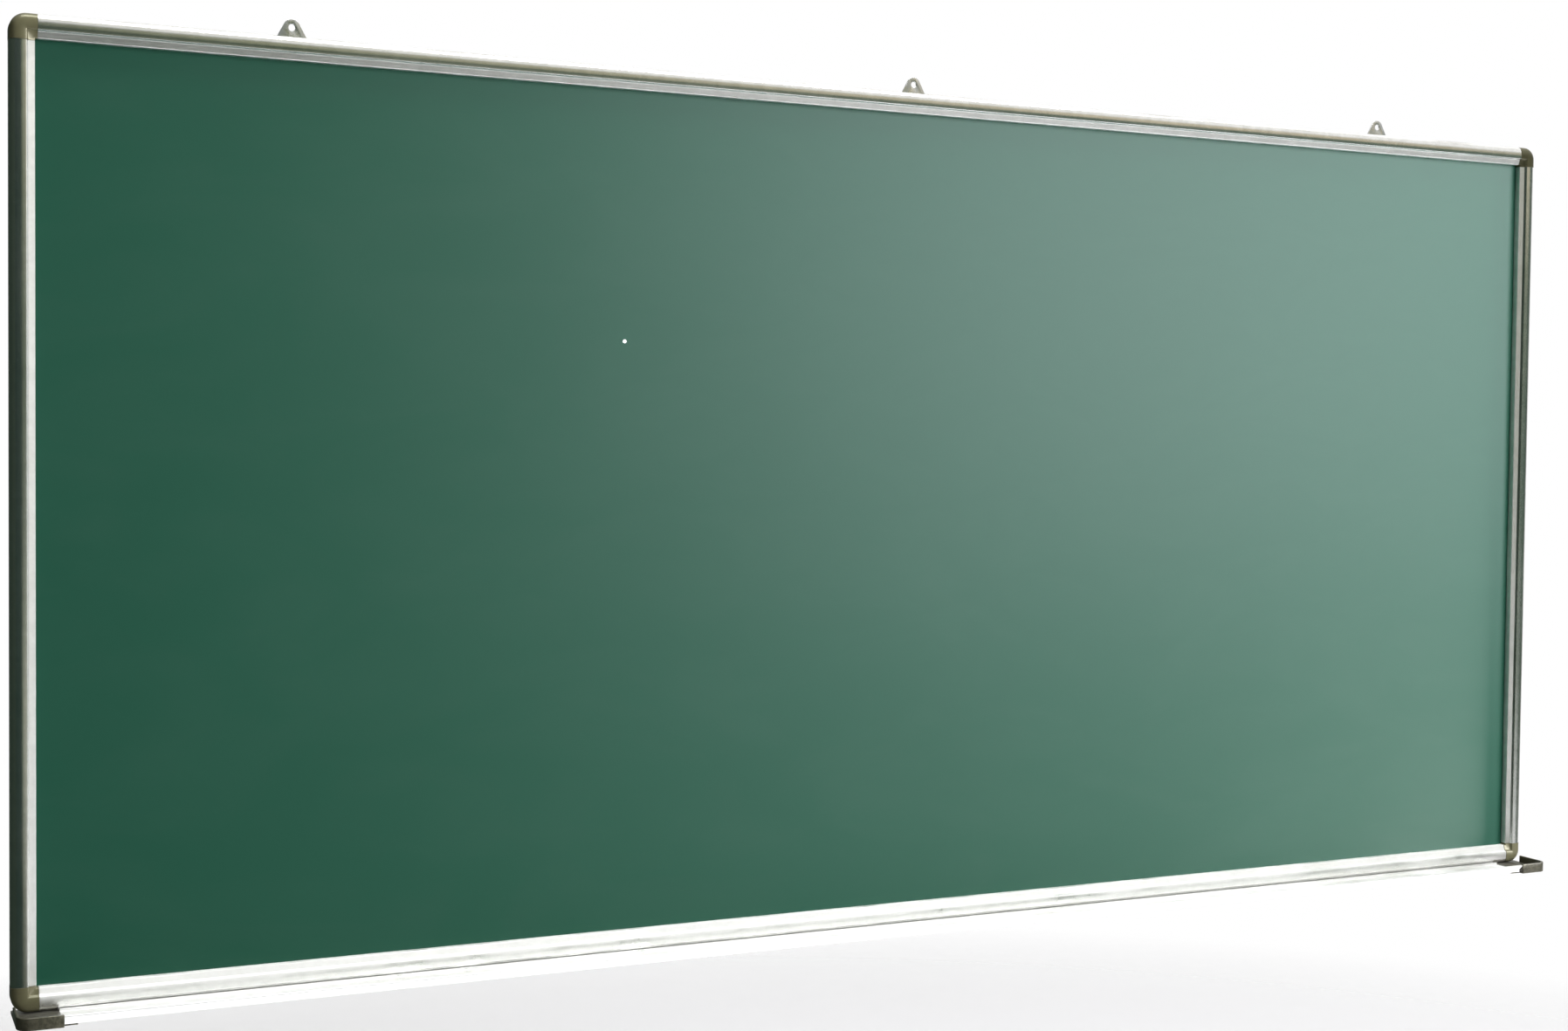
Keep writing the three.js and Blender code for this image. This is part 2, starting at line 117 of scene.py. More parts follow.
def spread(value, fromLow, fromHigh, toLow, toHigh):
    node = addNode(value, "ShaderNodeMapRange")
    for index, number in enumerate((value, fromLow, fromHigh, toLow, toHigh)):
        fill(node.inputs[index], number)
    return node.outputs[0]


def calculate(operation, first, second, kind="ShaderNodeMath"):
    node = addNode(first, kind, {"operation": operation})
    fill(node.inputs[0], first)
    fill(node.inputs[1], second)
    return node.outputs[0]


def addShare(base, extra, share):
    return calculate("ADD", base, calculate("MULTIPLY", extra, share))


def noise(place, scale, detail, roughness, distortion=0.0):
    return addNode(
        place, "ShaderNodeTexNoise", Vector=place, Scale=scale, Detail=detail,
        Roughness=roughness, Distortion=distortion,
    ).outputs[0]


def addSocket(tree, side, label, kind, value=None):
    socket = tree.interface.new_socket(label, in_out=side, socket_type=f"NodeSocket{kind}")
    if value is not None:
        socket.default_value = value


# Shared effects: surface grain, drawing lines, worn edges, inner lip, and chalk dust that on the
# sill and tray is also painted brightness

def newEffect(name, inputs):
    # Beside Place, a tuple makes a vector input and a number makes a plain one
    tree = bpy.data.node_groups.new(name, "ShaderNodeTree")
    addSocket(tree, "INPUT", "Place", "Vector")
    for label, value in inputs.items():
        kind = "Vector" if isinstance(value, tuple) else "Float"
        addSocket(tree, "INPUT", label, kind, value)
    return tree, tree.nodes.new("NodeGroupInput").outputs


def endEffect(tree, **values):
    for label in values:
        addSocket(tree, "OUTPUT", label, "Float")
    result = tree.nodes.new("NodeGroupOutput").inputs
    for label, value in values.items():
        fill(result[label], value)
    return tree


def makeGrainGroup():
    tree, given = newEffect("surfaceGrain", {"Fine Scale": 900.0, "Broad Scale": 3.0})
    return endEffect(
        tree,
        Fine=noise(given["Place"], given["Fine Scale"], 4.0, 0.6),
        Broad=noise(given["Place"], given["Broad Scale"], 3.0, 0.5, 0.4),
    )


def makeLinesGroup():
    tree, given = newEffect("drawingLines", {"Stretch": (1.0, 300.0, 300.0)})
    stretched = addNode(
        tree, "ShaderNodeMapping", Vector=given["Place"], Scale=given["Stretch"],
    ).outputs[0]
    return endEffect(
        tree,
        Lines=noise(stretched, 6.0, 5.0, 0.65),
        Streaks=noise(stretched, 0.8, 2.0, 0.5),
    )


def makeWearGroup():
    tree, given = newEffect("wornEdges", {"Amount": 0.5, "Break Up": 120.0})
    shape = tree.nodes.new("ShaderNodeNewGeometry").outputs
    edges = spread(shape["Pointiness"], 0.52, 0.6, 0.0, 1.0)
    spots = noise(given["Place"], given["Break Up"], 3.0, 0.6)
    broken = spread(spots, 0.4, 0.62, 0.0, 1.0)
    worn = calculate("MULTIPLY", edges, broken)
    return endEffect(tree, Wear=calculate("MULTIPLY", worn, given["Amount"]))


def makeLipGroup():
    # 1 on the frame's inner lip, which keeps the satin of the die, and 0 on its polished bead
    tree, given = newEffect("innerLip", {"Lip Start": (0.5, 1.0, 0.5)})
    size = addNode(tree, "ShaderNodeVectorMath", {"operation": "ABSOLUTE"}, Vector=given["Place"])
    room = calculate("SUBTRACT", given["Lip Start"], size.outputs[0], "ShaderNodeVectorMath")
    split = addNode(tree, "ShaderNodeSeparateXYZ", Vector=room).outputs
    nearest = calculate("MINIMUM", split["X"], split["Z"])
    return endEffect(tree, Lip=spread(nearest, -0.0003, 0.0003, 0.0, 1.0))


def makeDustGroup():
    # Chalk dust on slopes that face up; on the sill and tray, given every slope and about full
    # amount, it is also painted brightness where strong light falls
    tree, given = newEffect("chalkDust", {
        "Amount": 0.5, "Patch Scale": 14.0, "Least Slope": 0.55, "Full Slope": 0.95,
    })
    shape = tree.nodes.new("ShaderNodeNewGeometry").outputs
    heading = addNode(tree, "ShaderNodeSeparateXYZ", Vector=shape["Normal"]).outputs
    level = spread(heading["Z"], given["Least Slope"], given["Full Slope"], 0.0, 1.0)
    patches = noise(given["Place"], given["Patch Scale"], 6.0, 0.65)
    cover = spread(patches, 0.35, 0.68, 0.15, 1.0)
    dusty = calculate("MULTIPLY", level, cover)
    return endEffect(tree, Dust=calculate("MULTIPLY", dusty, given["Amount"]))


grainGroup = makeGrainGroup()
linesGroup = makeLinesGroup()
wearGroup = makeWearGroup()
dustAndPaintedLightGroup = makeDustGroup()
lipGroup = makeLipGroup()


def addEffect(group, place, **inputs):
    return addNode(place, "ShaderNodeGroup", {"node_tree": group}, Place=place, **inputs).outputs


def startMaterial(name, fine, broad, **constants):
    # fine and broad are the scales of the grain
    material = bpy.data.materials.new(name)
    material.use_nodes = True
    connect(material, **constants)
    place = material.node_tree.nodes.new("ShaderNodeTexCoord").outputs["Object"]
    grain = addEffect(grainGroup, place, Fine_Scale=fine, Broad_Scale=broad)
    return material, place, grain


def connect(material, **values):
    shader = material.node_tree.nodes["Principled BSDF"]
    for label, value in values.items():
        fill(shader.inputs[label.replace("_", " ")], value)


def endMaterial(material, colour, roughness, relief, strength, distance):
    # relief is a height, raised over a distance in metres
    bump = addNode(relief, "ShaderNodeBump", Strength=strength, Distance=distance, Height=relief)
    connect(material, Base_Color=colour, Roughness=roughness, Normal=bump.outputs[0])
    return material


# Materials

boardFinish = {
    "deepGreen": (0.0042, 0.0475, 0.0255, 1),
    "paleGreen": (0.0052, 0.0515, 0.0285, 1),
    "chalk": (0.72, 0.76, 0.72, 1),
    "haze": 0.004,
    "gloss": 0.42,
    "sheen": 0.225,
    "whiteDotPlace": (-0.3114, -0.008, 0.174),
    "whiteDotSize": 0.0021,
}


def makeBoardMaterial(look):
    material, place, grain = startMaterial(
        "writingGreen", fine=1400.0, broad=1.6, Specular_IOR_Level=look["sheen"], Metallic=0.0,
    )
    wiped = addNode(
        place, "ShaderNodeMapping", Vector=place, Scale=(2.2, 1.0, 5.0),
        Rotation=(0.0, 0.45, 0.0),
    )
    swathes = noise(wiped.outputs[0], 2.4, 7.0, 0.62, 0.8)
    green = mixColours(grain["Broad"], look["deepGreen"], look["paleGreen"])
    hazeShare = spread(swathes, 0.42, 0.75, 0.0, look["haze"])
    hazed = mixColours(hazeShare, green, look["chalk"])
    # A small white dot at one set place on the sheet
    away = addNode(place, "ShaderNodeVectorMath", {"operation": "DISTANCE"}, Vector=place)
    fill(away.inputs[1], look["whiteDotPlace"])
    ragged = spread(grain["Fine"], 0.3, 0.7, 0.6, 1.3)
    reach = calculate("MULTIPLY", ragged, look["whiteDotSize"])
    whiteDot = calculate("LESS_THAN", away.outputs["Value"], reach)
    colour = mixColours(whiteDot, hazed, look["chalk"])
    roughness = spread(swathes, 0.3, 0.7, look["gloss"] - 0.008, look["gloss"] + 0.01)
    return endMaterial(material, colour, roughness, grain["Fine"], 0.12, 0.0002)


metalFinish = {
    "pale": (0.84, 0.845, 0.83, 1),
    "deep": (0.74, 0.745, 0.73, 1),
    "worn": (0.93, 0.93, 0.92, 1),
    "chalk": (0.9, 0.9, 0.885, 1),
    "roughLow": 0.17,
    "roughHigh": 0.27,
    "lipRough": 0.26,
    "lipStart": (0.884, 1.0, 0.434),    # half width and height inside the bead, in metres
    "lineDepth": 0.00006,
}


def makeMetalMaterial(name, look, stretch, dustAndPaintedLightAmount, dustAndPaintedLightSlopes, lipped=True):
    material, place, grain = startMaterial(name, fine=2600.0, broad=7.0)
    lines = addEffect(linesGroup, place, Stretch=stretch)
    wear = addEffect(wearGroup, place, Amount=0.6, Break_Up=90.0)["Wear"]
    dustAndPaintedLight = addEffect(
        dustAndPaintedLightGroup, place, Amount=dustAndPaintedLightAmount, Patch_Scale=16.0,
        Least_Slope=dustAndPaintedLightSlopes[0], Full_Slope=dustAndPaintedLightSlopes[1],
    )["Dust"]
    body = mixColours(lines["Streaks"], look["deep"], look["pale"])
    worn = mixColours(wear, body, look["worn"])
    # White chalk dust over the metal; on the sill and tray it also stands for painted brightness of
    # strong light
    colour = mixColours(dustAndPaintedLight, worn, look["chalk"])
    polish = calculate("ADD", lines["Lines"], grain["Broad"])
    smooth = spread(polish, 0.7, 1.3, look["roughLow"], look["roughHigh"])
    if lipped:
        lip = addEffect(lipGroup, place, Lip_Start=look["lipStart"])["Lip"]
        smooth = addShare(smooth, lip, look["lipRough"])
    roughness = addShare(smooth, dustAndPaintedLight, 0.45)
    relief = addShare(lines["Lines"], grain["Fine"], 0.25)
    connect(material, Metallic=spread(dustAndPaintedLight, 0.0, 1.0, 1.0, 0.0))
    return endMaterial(material, colour, roughness, relief, 0.25, look["lineDepth"])


resinFinish = {
    "body": (0.13, 0.125, 0.066, 1),
    "deep": (0.096, 0.093, 0.046, 1),
    "worn": (0.24, 0.235, 0.16, 1),
    "chalk": (0.62, 0.62, 0.58, 1),
    "lustre": 0.3,
}

# A darker copy of the corner resin for the tray ends: painted shade of their shadowed side
shadedResinFinish = {
    **resinFinish, "body": (0.05, 0.048, 0.03, 1), "deep": (0.036, 0.035, 0.022, 1),
}


def makeResinMaterial(name, look, dustAndPaintedLightAmount):
    material, place, grain = startMaterial(
        name, fine=1900.0, broad=38.0, Metallic=look["lustre"], Specular_IOR_Level=0.5,
    )
    wear = addEffect(wearGroup, place, Amount=0.7, Break_Up=260.0)["Wear"]
    dustAndPaintedLight = addEffect(dustAndPaintedLightGroup, place, Amount=dustAndPaintedLightAmount, Patch_Scale=70.0)["Dust"]
    base = mixColours(grain["Broad"], look["deep"], look["body"])
    worn = mixColours(wear, base, look["worn"])
    colour = mixColours(dustAndPaintedLight, worn, look["chalk"])
    satin = spread(grain["Fine"], 0.3, 0.7, 0.26, 0.34)
    roughness = addShare(satin, dustAndPaintedLight, 0.4)
    return endMaterial(material, colour, roughness, grain["Fine"], 0.3, 0.00008)


steelFinish = {
    "bright": (0.82, 0.83, 0.84, 1),
    "dull": (0.62, 0.64, 0.66, 1),
    "worn": (0.9, 0.9, 0.9, 1),
}


def makeSteelMaterial(name, look, patchScale, roughLow, roughHigh):
    material, place, grain = startMaterial(name, fine=3200.0, broad=patchScale, Metallic=1.0)
    wear = addEffect(wearGroup, place, Amount=0.8, Break_Up=500.0)["Wear"]
    patches = spread(grain["Broad"], 0.35, 0.65, 0.0, 1.0)
    base = mixColours(patches, look["dull"], look["bright"])
    colour = mixColours(wear, base, look["worn"])
    roughness = spread(grain["Broad"], 0.3, 0.7, roughHigh, roughLow)
    return endMaterial(material, colour, roughness, grain["Fine"], 0.2, 0.00004)


zincFinish = {
    "dark": (0.42, 0.44, 0.45, 1),
    "light": (0.66, 0.68, 0.69, 1),
    "spangleScale": 70.0,
}


def cells(place, scale):
    return addNode(place, "ShaderNodeTexVoronoi", Vector=place, Scale=scale, Randomness=1.0).outputs


def makeZincMaterial(look):
    material, place, grain = startMaterial("galvanisedBack", fine=1500.0, broad=5.0, Metallic=1.0)
    spangle = cells(place, look["spangleScale"])
    flake = addNode(place, "ShaderNodeSeparateColor", Color=spangle["Color"]).outputs
    tone = addShare(calculate("MULTIPLY", flake[0], 0.6), grain["Broad"], 0.4)
    colour = mixColours(tone, look["dark"], look["light"])
    roughness = spread(flake[1], 0.0, 1.0, 0.3, 0.5)
    return endMaterial(material, colour, roughness, grain["Fine"], 0.15, 0.0001)


hardboardFinish = {
    "dark": (0.16, 0.085, 0.036, 1),
    "light": (0.27, 0.155, 0.07, 1),
    "fibre": (0.1, 0.05, 0.02, 1),
}


def makeHardboardMaterial(look):
    material, place, grain = startMaterial(
        "hardboardCore", fine=700.0, broad=40.0, Specular_IOR_Level=0.2,
    )
    fibres = cells(place, 420.0)["Distance"]
    brown = mixColours(grain["Broad"], look["dark"], look["light"])
    fibreShare = spread(fibres, 0.0, 0.6, 0.35, 0.0)
    colour = mixColours(fibreShare, brown, look["fibre"])
    roughness = spread(grain["Fine"], 0.3, 0.7, 0.8, 0.95)
    return endMaterial(material, colour, roughness, fibres, 0.5, 0.0003)


alongX = (1.2, 420.0, 420.0)      # stretch of the drawing lines along each axis
alongZ = (420.0, 420.0, 1.2)
boardMaterial = makeBoardMaterial(boardFinish)
ledge = (0.3, 0.8)                # slopes at which dust begins to lie and lies fully
# For the sill and tray, dust lies from slopes that face partly down to those that face up, at about
# full amount (1.1 and 1.0 below): partly chalk dust and partly painted brightness where strong
# light falls
sillDustAndPaintedLightSlopes = (-0.35, 0.25)
railMaterial = makeMetalMaterial("frameAluminiumTop", metalFinish, alongX, 0.55, ledge)
sillMaterial = makeMetalMaterial("frameAluminiumSill", metalFinish, alongX, 1.1, sillDustAndPaintedLightSlopes)
stileMaterial = makeMetalMaterial("frameAluminiumUpright", metalFinish, alongZ, 0.12, ledge)
trayMaterial = makeMetalMaterial("trayAluminium", metalFinish, alongX, 1.0, sillDustAndPaintedLightSlopes, False)
cornerMaterial = makeResinMaterial("cornerResin", resinFinish, 0.15)
# The tray ends take the darker resin, which is painted shade
shadedTrayEndMaterial = makeResinMaterial("trayEndResinShaded", shadedResinFinish, 0.12)
plateMaterial = makeSteelMaterial("hangerZinc", steelFinish, 160.0, 0.22, 0.38)
screwMaterial = makeSteelMaterial("screwZinc", steelFinish, 420.0, 0.18, 0.32)
zincMaterial = makeZincMaterial(zincFinish)
hardboardMaterial = makeHardboardMaterial(hardboardFinish)
print("Materials made:", len(bpy.data.materials))


# Mesh helpers

def meshFrom(work):
    bmesh.ops.recalc_face_normals(work, faces=work.faces)
    mesh = bpy.data.meshes.new("made")
    work.to_mesh(mesh)
    work.free()
    return mesh


def takeMesh(made):
    mesh = made.data
    bpy.data.objects.remove(made)
    return mesh


def settle(made):
    bpy.context.view_layer.update()
    graph = bpy.context.evaluated_depsgraph_get()
    mesh = bpy.data.meshes.new_from_object(made.evaluated_get(graph), depsgraph=graph)
    made.modifiers.clear()
    made.data = mesh
    return made


def carve(made, tools, operation="DIFFERENCE"):
    for tool in tools:
        cutter = linkObject("cutter", tool)
        change = made.modifiers.new("carve", "BOOLEAN")
        change.operation = operation
        change.solver = "EXACT"
        change.object = cutter
        settle(made)
        bpy.data.objects.remove(cutter)
    return made


def softenEdges(made, width, segments=3, limit=35):
    soft = made.modifiers.new("soften", "BEVEL")
    soft.width = width * mm
    soft.segments = segments
    soft.limit_method = "ANGLE"
    soft.angle_limit = math.radians(limit)
    soft.miter_outer = "MITER_ARC"
    return settle(made)


def dress(made, material, slot, body, replaced, smoothLimit=32):
    mesh = made.data
    mesh.materials.clear()
    mesh.materials.append(material)
    mesh.polygons.foreach_set("material_index", [0] * len(mesh.polygons))
    mesh.shade_smooth()
    mesh.set_sharp_from_angle(angle=math.radians(smoothLimit))
    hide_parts(*replaced)
    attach(made, body)


def placeCopy(name, pattern, matrix, *finish):
    mesh = pattern.copy()
    mesh.transform(matrix)
    if matrix.determinant() < 0:
        mesh.flip_normals()
    dress(linkObject(name, mesh), *finish)


def skin(work, rings):
    # Faces from each ring of points to the next, where a ring of one point is a tip
    for ring, after in zip(rings, rings[1:]):
        count = max(len(ring), len(after))
        for index in range(count):
            beside = (index + 1) % count
            loop = [ring[index % len(ring)], ring[beside % len(ring)],
                    after[beside % len(after)], after[index % len(after)]]
            work.faces.new(list(dict.fromkeys(loop)))


def prism(points, low, high):
    # points are [X, Y] in millimetres, and the prism stands between two heights
    work = bmesh.new()
    rings = [[work.verts.new((x * mm, y * mm, z * mm)) for x, y in points] for z in (low, high)]
    work.faces.new(rings[0])
    work.faces.new(rings[1])
    skin(work, rings)
    return meshFrom(work)


def block(low, high):
    (x0, y0, z0), (x1, y1, z1) = low, high
    return prism([(x0, y0), (x1, y0), (x1, y1), (x0, y1)], z0, z1)


def spun(profile, steps):
    # profile is [radius, height] in millimetres, from axis to axis, turned about Z
    work = bmesh.new()
    rings = []
    for radius, height in profile:
        ring = arc((0, 0), radius, 0, 2 * math.pi, steps)[:-1] if radius else [(0, 0)]
        rings.append([work.verts.new((x * mm, y * mm, height * mm)) for x, y in ring])
    skin(work, rings)
    return meshFrom(work)


def drillBit(radius, low, high, steps):
    return spun([(0, low), (radius, low), (radius, high), (0, high)], steps)


def arc(centre, radius, start, end, steps):
    turns = [start + (end - start) * step / steps for step in range(steps + 1)]
    x, y = centre
    return [(x + radius * math.cos(turn), y + radius * math.sin(turn)) for turn in turns]


def rounded(points, radius, limit=25):
    # Rounds each clear corner of a closed outline with three short edges, which take
    # less than half of either side
    result = []
    count = len(points)
    for index in range(count):
        before, here, after = (Vector(points[(index + shift) % count]) for shift in (-1, 0, 1))
        inward, outward = before - here, after - here
        bend = 180 - math.degrees(inward.angle(outward))
        room = 0.45 * min(inward.length, outward.length)
        if bend < limit or room < radius * 0.3:
            result.append(tuple(here))
            continue
        cut = min(radius, room)
        near, far = here + inward.normalized() * cut, here + outward.normalized() * cut
        for share in (0, 1 / 3, 2 / 3, 1):
            curve = near * (1 - share) ** 2 + here * 2 * share * (1 - share) + far * share ** 2
            result.append(tuple(curve))
    return result


# Geometry Nodes: what both trees share

def newBuildTree(name, kinds):
    tree = bpy.data.node_groups.new(name, "GeometryNodeTree")
    for label, kind in kinds.items():
        addSocket(tree, "INPUT", label, kind)
    addSocket(tree, "INPUT", "Finish", "Material")
    addSocket(tree, "OUTPUT", "Geometry", "Geometry")
    return tree, tree.nodes.new("NodeGroupInput").outputs


def endBuildTree(tree, geometry, finish):
    whole = addNode(tree, "GeometryNodeRealizeInstances", Geometry=geometry)
    coated = addNode(tree, "GeometryNodeSetMaterial", Geometry=whole.outputs[0], Material=finish)
    addNode(tree, "NodeGroupOutput", Geometry=coated.outputs[0])
    return tree


# Geometry Nodes: a section drawn along a straight line, as an extrusion is, and then drilled

def makeSweepTree():
    tree, given = newBuildTree("extrudedLength", {
        "Section": "Object", "Holes": "Object", "From": "Vector", "To": "Vector",
    })
    line = addNode(tree, "GeometryNodeCurvePrimitiveLine", Start=given["From"], End=given["To"])
    section = addNode(tree, "GeometryNodeObjectInfo", Object=given["Section"])
    drawn = addNode(
        tree, "GeometryNodeCurveToMesh", Curve=line.outputs[0],
        Profile_Curve=section.outputs["Geometry"], Fill_Caps=True,
    )
    holes = addNode(tree, "GeometryNodeObjectInfo", Object=given["Holes"])
    drilled = addNode(
        tree, "GeometryNodeMeshBoolean", {"operation": "DIFFERENCE", "solver": "EXACT"},
        Mesh_1=drawn.outputs[0], Mesh_2=holes.outputs["Geometry"],
    )
    return endBuildTree(tree, drilled.outputs[0], given["Finish"])


# Geometry Nodes: one screw repeated at each given place, turned by a fixed random amount

def makeScrewTree():
    tree, given = newBuildTree("screwSet", {
        "Places": "Geometry", "Screw": "Object", "Spin Limit": "Float", "Spin Seed": "Int",
    })
    screw = addNode(tree, "GeometryNodeObjectInfo", Object=given["Screw"])
    heading = addNode(
        tree, "GeometryNodeInputNamedAttribute", {"data_type": "FLOAT_VECTOR"}, Name="heading",
    )
    upright = addNode(
        tree, "FunctionNodeAlignRotationToVector", {"axis": "Z"}, Vector=heading.outputs[0],
    )
    spin = addNode(
        tree, "FunctionNodeRandomValue", {"data_type": "FLOAT"}, Seed=given["Spin Seed"],
    )
    fill(spin.inputs[2], 0.0)
    fill(spin.inputs[3], given["Spin Limit"])
    about = addNode(tree, "FunctionNodeAxisAngleToRotation", Axis=(0, 0, 1), Angle=spin.outputs[1])
    turned = addNode(
        tree, "FunctionNodeRotateRotation", {"rotation_space": "LOCAL"},
        Rotation=upright.outputs[0], Rotate_By=about.outputs[0],
    )
    placed = addNode(
        tree, "GeometryNodeInstanceOnPoints", Points=given["Places"],
        Instance=screw.outputs["Geometry"], Rotation=turned.outputs[0],
    )
    return endBuildTree(tree, placed.outputs[0], given["Finish"])


sweepTree = makeSweepTree()
screwTree = makeScrewTree()


def runTree(name, tree, mesh, values):
    made = linkObject(name, mesh)
    nodes = made.modifiers.new("build", "NODES")
    nodes.node_group = tree
    for socket in tree.interface.items_tree:
        if socket.in_out == "INPUT" and socket.name in values:
            nodes[socket.identifier] = values[socket.name]
    return settle(made)


def sectionObject(points):
    curve = bpy.data.curves.new("section", "CURVE")
    line = curve.splines.new("POLY")
    line.points.add(len(points) - 1)
    for point, (inward, forward) in zip(line.points, points):
        point.co = (forward * mm, inward * mm, 0, 1)
    line.use_cyclic_u = True
    return linkObject("section", curve)


def joinedMesh(parts):
    work = bmesh.new()
    for mesh, matrix in parts:
        shifted = mesh.copy()
        shifted.transform(matrix)
        work.from_mesh(shifted)
        bpy.data.meshes.remove(shifted)
    mesh = bpy.data.meshes.new("joined")
    work.to_mesh(mesh)
    work.free()
    return mesh


def moved(x, y, z, turn=0, axis="Y"):
    return Matrix.Translation((x * mm, y * mm, z * mm)) @ Matrix.Rotation(turn, 4, axis)


def drawLength(name, points, reach, finish, holes=()):
    # Draws the section from -reach to reach along X, and takes out the holes
    helpers = [sectionObject(points)]
    values = {
        "Section": helpers[0], "From": (-reach * mm, 0, 0), "To": (reach * mm, 0, 0),
        "Finish": finish,
    }
    if holes:
        helpers.append(linkObject("holes", joinedMesh(holes)))
        values["Holes"] = helpers[1]
    made = runTree(name, sweepTree, bpy.data.meshes.new(name), values)
    for helper in helpers:
        bpy.data.objects.remove(helper)
    return made


# Frame extrusion, in millimetres: [in from the frame's outer edge, out from the wall]

board = {"width": 1800, "height": 900}
halfWidth, halfHeight = board["width"] / 2, board["height"] / 2
rail = {
    "face": 22, "depth": 20, "wall": 1.4,
    "bead": 7.5, "crown": 20, "crownLean": 0.218, "slope": 1.4,
    "lipWidth": 6, "lipDrop": 4.6, "lipTilt": 1.4, "lipRound": 0.6,
    "groove": (1.85, 8.15), "grooveFloor": 8.8, "flangeReach": 9,
    "recess": 2, "slot": 3.4, "arcSteps": 18, "crownSteps": 10, "edge": 0.22, "end": 24.3,
}
slotMiddle = rail["grooveFloor"] / 2    # from the outer edge to the middle of the back channel


def frontLine(size, inset=0):
    bead, crown, lean = size["bead"], size["crown"], size["crownLean"]
    level = size["depth"] - size["lipDrop"]
    lipStart = size["face"] - size["lipWidth"]
    rise, base = crown - bead, size["depth"] - crown
    middle = bead + rise * math.sin(lean)
    turn, end = quarterTurn + lean, math.acos((lipStart - size["slope"] - middle) / crown)
    return [
        *arc((bead, base + rise * math.cos(lean)), bead - inset, math.pi, turn, size["arcSteps"]),
        *arc((middle, base), crown - inset, turn, end, size["crownSteps"])[1:],
        (lipStart - inset / 2, level + size["lipTilt"] - inset),
        (size["face"] - size["lipRound"] - inset, level - inset),
        (size["face"] - inset, level - size["lipRound"] - inset),
    ]


def railSection(size):
    wall, face, recess = size["wall"], size["face"], size["recess"]
    back, front = size["groove"]
    web = size["grooveFloor"] - wall
    middle = (wall + web) / 2
    near, far = middle - size["slot"] / 2, middle + size["slot"] / 2
    floor = recess + wall
    flange = web + size["flangeReach"]
    return [
        (0, recess), *frontLine(size), (face, front), (size["grooveFloor"], front),
        (size["grooveFloor"], back), (flange, back), (flange, 0), (web, 0), (web, recess),
        (far, recess), (far, floor), (web, floor), (web, front + wall), (face - wall, front + wall),
        *reversed(frontLine(size, wall)), (wall, floor), (near, floor), (near, recess),
    ]


sides = [
    # name, half its length, middle to outer edge, part, finish, each a quarter turn from the last
    ("topRail", halfWidth, halfHeight, "top_rail", railMaterial),
    ("rightStile", halfHeight, halfWidth, "right_stile", stileMaterial),
    ("bottomRail", halfWidth, halfHeight, "bottom_rail", sillMaterial),
    ("leftStile", halfHeight, halfWidth, "left_stile", stileMaterial),
]

tray = {
    "depth": 65, "thick": 1.6, "lip": 9, "flare": 2.5, "bead": 1.2, "setback": 1, "fillet": 2,
    "rib": 2.5, "ribGap": 0.3, "top": -0.2, "inset": 1, "endLength": 40, "gap": 0.3,
    "screwCount": 5, "screwMargin": 60, "screwLine": 10, "endScrew": 6, "edge": 0.3,
}
endScrew = halfWidth - rail["end"] - tray["endScrew"]
trayReach = halfWidth - tray["inset"] - tray["endLength"] - tray["gap"]
trayScrewSpan = trayReach - tray["screwMargin"]
trayScrews = [
    trayScrewSpan * (2 * index / (tray["screwCount"] - 1) - 1)
    for index in range(tray["screwCount"])
]
holeRadius = 1.7        # of the screw holes in rails, corners and tray


def makeRails():
    points = rounded(railSection(rail), rail["edge"])
    drill = drillBit(holeRadius, -12, 2.9, 32)
    # A rail is drawn with its outer edge up, so the bottom rail's holes go in from above
    holes = [
        (drill, moved(0, 0, 0, math.pi) @ moved(x, -tray["screwLine"], 0))
        for x in (-endScrew, *trayScrews, endScrew)
    ]
    for turns, (name, half, out, node, finish) in enumerate(sides):
        drilled = holes if node == "bottom_rail" else ()
        made = drawLength(name, points, half - rail["end"], finish, drilled)
        made.data.transform(moved(0, 0, 0, turns * quarterTurn) @ moved(0, 0, out))
        dress(made, finish, "frame_aluminium", "board", [node])


makeRails()
print("Frame rails drawn")


# Resin corner pieces, made for the top right corner and turned to each place

corner = {
    "arm": 24, "radius": 15, "proud": 0.5, "back": 0.2, "steps": 20,
    "legTip": 48, "legBack": 3.7, "legFront": 13.3, "legNear": 1.7, "legFar": 7.1,
    "screwPlace": 40.3, "sidePlace": rail["end"] + tray["endScrew"], "sideDepth": 10,
    "edge": 0.35, "rim": 0.2, "legEdge": 0.5,
}
cornerPlaces = (
    ("top_right", 1, 1), ("bottom_right", 1, -1), ("bottom_left", -1, -1), ("top_left", -1, 1),
)


def cornerOutline(size, shape):
    back, front = size["groove"]
    proud = [(inward, forward + shape["proud"]) for inward, forward in frontLine(size)]
    return [
        (0, shape["back"]), *proud, (size["face"], front), (size["grooveFloor"], front),
        (size["grooveFloor"], back), (size["face"], back), (size["face"], shape["back"]),
    ]


def cornerPath(inward, shape):
    arm, radius, steps = shape["arm"], shape["radius"], shape["steps"]
    if inward < radius:
        bend = arc((-radius, -radius), radius - inward, quarterTurn, 0, steps)
    else:
        bend = [(-inward, -inward)] * (steps + 1)
    return [(-arm, -inward), *bend, (-inward, -arm)]


def cornerBody(size, shape):
    outline = rounded(cornerOutline(size, shape), shape["edge"])
    work = bmesh.new()
    paths = [cornerPath(inward, shape) for inward, _ in outline]
    rings = [
        [
            work.verts.new((path[step][0] * mm, -forward * mm, path[step][1] * mm))
            for path, (_, forward) in zip(paths, outline)
        ]
        for step in range(shape["steps"] + 3)
    ]
    skin(work, rings)
    ends = [work.faces.new(rings[0]), work.faces.new(rings[-1])]
    rims = [edge for face in ends for edge in face.edges]
    bmesh.ops.bevel(
        work, geom=rims, offset=shape["rim"] * mm, segments=2, profile=0.5, affect="EDGES",
    )
    bmesh.ops.remove_doubles(work, verts=work.verts, dist=2e-6)
    return meshFrom(work)


